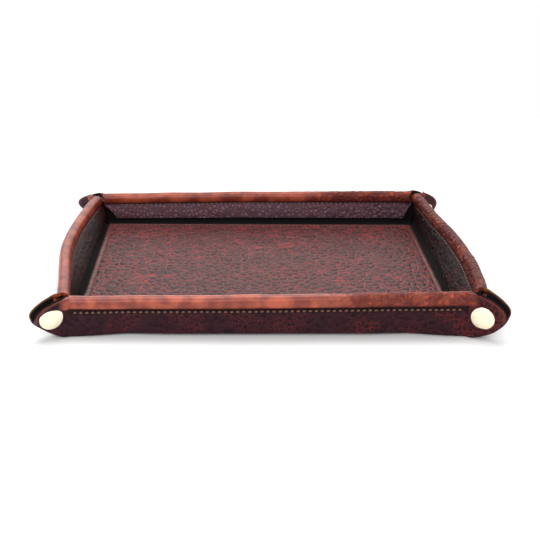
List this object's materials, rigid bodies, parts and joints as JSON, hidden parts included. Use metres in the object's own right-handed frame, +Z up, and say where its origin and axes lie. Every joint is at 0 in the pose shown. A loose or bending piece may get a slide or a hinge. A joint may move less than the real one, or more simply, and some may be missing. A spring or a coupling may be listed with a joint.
{
  "type": "valet tray",
  "caption": "Rectangular leather catch-all tray with a leather-covered base board, rolled rims and pinched corners held by snap fasteners; unsnapped, its walls fold outwards.",
  "frame": {"origin": "under the middle of the base, on the surface that the tray stands on", "axes": "+X to the right along the tray's length, +Y to the back, +Z up"},
  "size_m": [0.2936, 0.2192, 0.0287],
  "materials": {
    "leather": "antiqued, waxed, red-brown veins on dark aubergine",
    "pad_leather": "antiqued, red veins on mauve grey",
    "lining": "black suede",
    "brass": "pale polished",
    "board": "pressed fibre board",
    "filler_cord": "twisted cotton cord"
  },
  "bodies": {
    "base": {"base_leather": "leather", "base_lining": "lining", "pad_board": "board", "pad_cover": "pad_leather"},
    "front_wall": {"front_wall_leather": "leather", "front_wall_lining": "lining", "front_rim_cord": "filler_cord"},
    "back_wall": {"back_wall_leather": "leather", "back_wall_lining": "lining", "back_rim_cord": "filler_cord"},
    "left_wall": {"left_wall_leather": "leather", "left_wall_lining": "lining", "left_rim_cord": "filler_cord"},
    "right_wall": {"right_wall_leather": "leather", "right_wall_lining": "lining", "right_rim_cord": "filler_cord"},
    "front_left_cap_ear": {"front_left_cap_ear_leather": "leather", "front_left_cap_ear_lining": "lining", "front_left_snap_cap": "brass", "front_left_snap_socket": "brass"},
    "front_left_stud_ear": {"front_left_stud_ear_leather": "leather", "front_left_stud_ear_lining": "lining", "front_left_snap_stud": "brass", "front_left_snap_eyelet": "brass"},
    "front_right_cap_ear": {"front_right_cap_ear_leather": "leather", "front_right_cap_ear_lining": "lining", "front_right_snap_cap": "brass", "front_right_snap_socket": "brass"},
    "front_right_stud_ear": {"front_right_stud_ear_leather": "leather", "front_right_stud_ear_lining": "lining", "front_right_snap_stud": "brass", "front_right_snap_eyelet": "brass"},
    "back_left_cap_ear": {"back_left_cap_ear_leather": "leather", "back_left_cap_ear_lining": "lining", "back_left_snap_cap": "brass", "back_left_snap_socket": "brass"},
    "back_left_stud_ear": {"back_left_stud_ear_leather": "leather", "back_left_stud_ear_lining": "lining", "back_left_snap_stud": "brass", "back_left_snap_eyelet": "brass"},
    "back_right_cap_ear": {"back_right_cap_ear_leather": "leather", "back_right_cap_ear_lining": "lining", "back_right_snap_cap": "brass", "back_right_snap_socket": "brass"},
    "back_right_stud_ear": {"back_right_stud_ear_leather": "leather", "back_right_stud_ear_lining": "lining", "back_right_snap_stud": "brass", "back_right_snap_eyelet": "brass"}
  },
  "joints": [
    {"name": "front_wall_fold", "type": "hinge", "parent": "base", "child": "front_wall", "pos_m": [0, -0.09604, 0.00146], "axis": [1, 0, 0], "range_deg": [0, 40]},
    {"name": "back_wall_fold", "type": "hinge", "parent": "base", "child": "back_wall", "pos_m": [0, 0.09604, 0.00146], "axis": [-1, 0, 0], "range_deg": [0, 40]},
    {"name": "left_wall_fold", "type": "hinge", "parent": "base", "child": "left_wall", "pos_m": [-0.12554, 0, 0.00146], "axis": [0, -1, 0], "range_deg": [0, 40]},
    {"name": "right_wall_fold", "type": "hinge", "parent": "base", "child": "right_wall", "pos_m": [0.12554, 0, 0.00146], "axis": [0, 1, 0], "range_deg": [0, 40]},
    {"name": "front_left_cap_ear_fold", "type": "hinge", "parent": "front_wall", "child": "front_left_cap_ear", "pos_m": [-0.12432, -0.09445, 0.005], "axis": [0, 0.0767, -0.9971], "range_deg": [0, 4]},
    {"name": "front_left_stud_ear_fold", "type": "hinge", "parent": "left_wall", "child": "front_left_stud_ear", "pos_m": [-0.12395, -0.09331, 0.005], "axis": [-0.1521, 0, 0.9884], "range_deg": [0, 14]},
    {"name": "front_right_cap_ear_fold", "type": "hinge", "parent": "front_wall", "child": "front_right_cap_ear", "pos_m": [0.12432, -0.09445, 0.005], "axis": [0, -0.0767, 0.9971], "range_deg": [0, 4]},
    {"name": "front_right_stud_ear_fold", "type": "hinge", "parent": "right_wall", "child": "front_right_stud_ear", "pos_m": [0.12395, -0.09331, 0.005], "axis": [-0.1521, 0, -0.9884], "range_deg": [0, 14]},
    {"name": "back_left_cap_ear_fold", "type": "hinge", "parent": "back_wall", "child": "back_left_cap_ear", "pos_m": [-0.12432, 0.09445, 0.005], "axis": [0, 0.0767, 0.9971], "range_deg": [0, 4]},
    {"name": "back_left_stud_ear_fold", "type": "hinge", "parent": "left_wall", "child": "back_left_stud_ear", "pos_m": [-0.12395, 0.09331, 0.005], "axis": [0.1521, 0, -0.9884], "range_deg": [0, 14]},
    {"name": "back_right_cap_ear_fold", "type": "hinge", "parent": "back_wall", "child": "back_right_cap_ear", "pos_m": [0.12432, 0.09445, 0.005], "axis": [0, -0.0767, -0.9971], "range_deg": [0, 4]},
    {"name": "back_right_stud_ear_fold", "type": "hinge", "parent": "right_wall", "child": "back_right_stud_ear", "pos_m": [0.12395, 0.09331, 0.005], "axis": [0.1521, 0, 0.9884], "range_deg": [0, 14]}
  ],
  "couplings": [
    {"joint": "back_wall_fold", "follows": "front_wall_fold", "ratio": 1},
    {"joint": "left_wall_fold", "follows": "front_wall_fold", "ratio": 1},
    {"joint": "right_wall_fold", "follows": "front_wall_fold", "ratio": 1},
    {"joint": "front_left_cap_ear_fold", "follows": "front_wall_fold", "ratio": 0.1},
    {"joint": "front_left_stud_ear_fold", "follows": "front_wall_fold", "ratio": 0.35},
    {"joint": "front_right_cap_ear_fold", "follows": "front_wall_fold", "ratio": 0.1},
    {"joint": "front_right_stud_ear_fold", "follows": "front_wall_fold", "ratio": 0.35},
    {"joint": "back_left_cap_ear_fold", "follows": "front_wall_fold", "ratio": 0.1},
    {"joint": "back_left_stud_ear_fold", "follows": "front_wall_fold", "ratio": 0.35},
    {"joint": "back_right_cap_ear_fold", "follows": "front_wall_fold", "ratio": 0.1},
    {"joint": "back_right_stud_ear_fold", "follows": "front_wall_fold", "ratio": 0.35}
  ]
}
